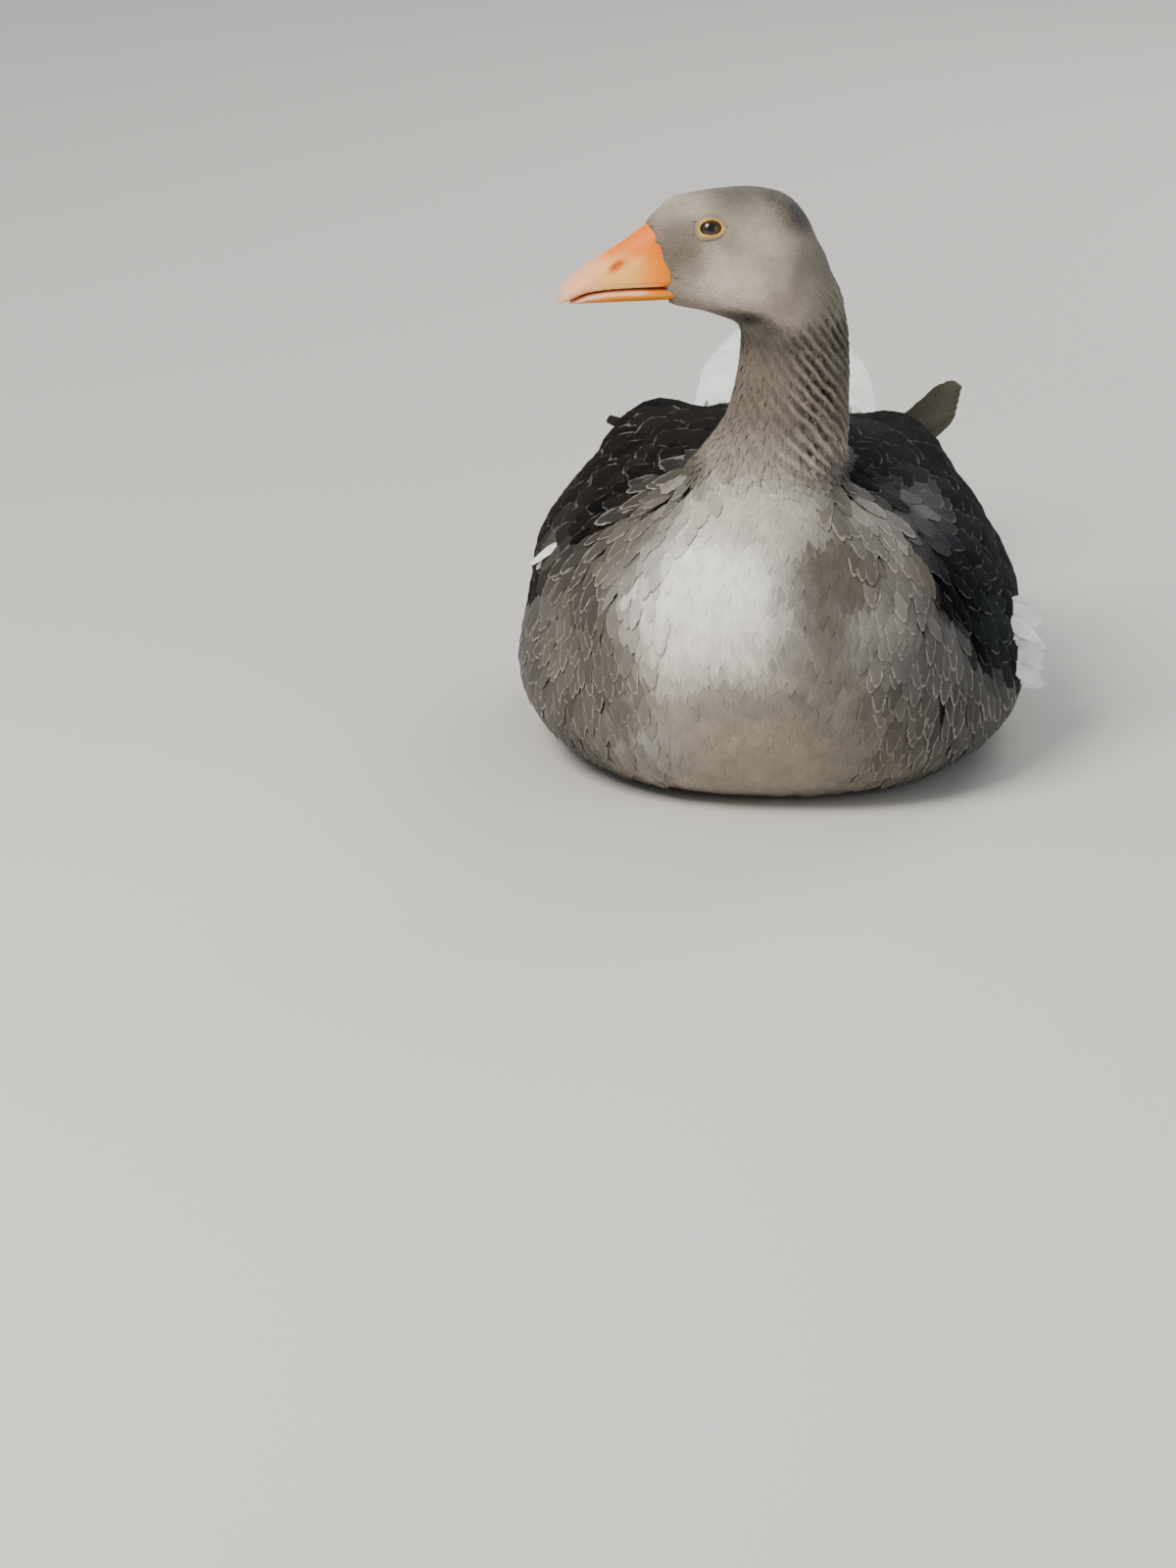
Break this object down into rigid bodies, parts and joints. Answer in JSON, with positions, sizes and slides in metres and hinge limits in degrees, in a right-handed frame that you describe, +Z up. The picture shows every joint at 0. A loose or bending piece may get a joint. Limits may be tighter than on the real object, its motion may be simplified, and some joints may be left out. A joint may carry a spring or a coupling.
{
  "type": "domestic goose",
  "caption": "Life-size grey-brown domestic goose resting on its belly, neck raised and head turned to its right, with an orange bill and a white tail.",
  "frame": {"origin": "bottom centre of the whole bird's box, on the floor under its belly", "axes": "+Z is up, +Y points along the body to the tail, -Y is the way the breast faces, +X is the goose's left"},
  "size_m": [0.2986, 0.5414, 0.35],
  "materials": {
    "plumage_taupe": "matte taupe feathers of the head and neck",
    "plumage_pale": "matte pale grey-brown feathers of the breast and flanks",
    "plumage_dark": "satin dark brown feathers of the wings",
    "plumage_white": "matte white feathers of the tail",
    "bill_orange": "satin orange horn",
    "leg_orange": "satin scaled orange skin",
    "eye_brown": "wet gloss dark brown"
  },
  "bodies": {
    "root": {"trunk": "plumage_pale", "neck_lower": "plumage_taupe", "neck_upper": "plumage_taupe", "head": "plumage_taupe", "bill_upper": "bill_orange", "bill_lower": "bill_orange", "eye_left": "eye_brown", "eye_right": "eye_brown", "wing_left": "plumage_dark", "wing_right": "plumage_dark", "wingtip_left": "plumage_dark", "wingtip_right": "plumage_dark", "tail": "plumage_white", "foot_left": "leg_orange", "foot_right": "leg_orange", "shank_left": "leg_orange", "shank_right": "leg_orange"}
  },
  "joints": []
}
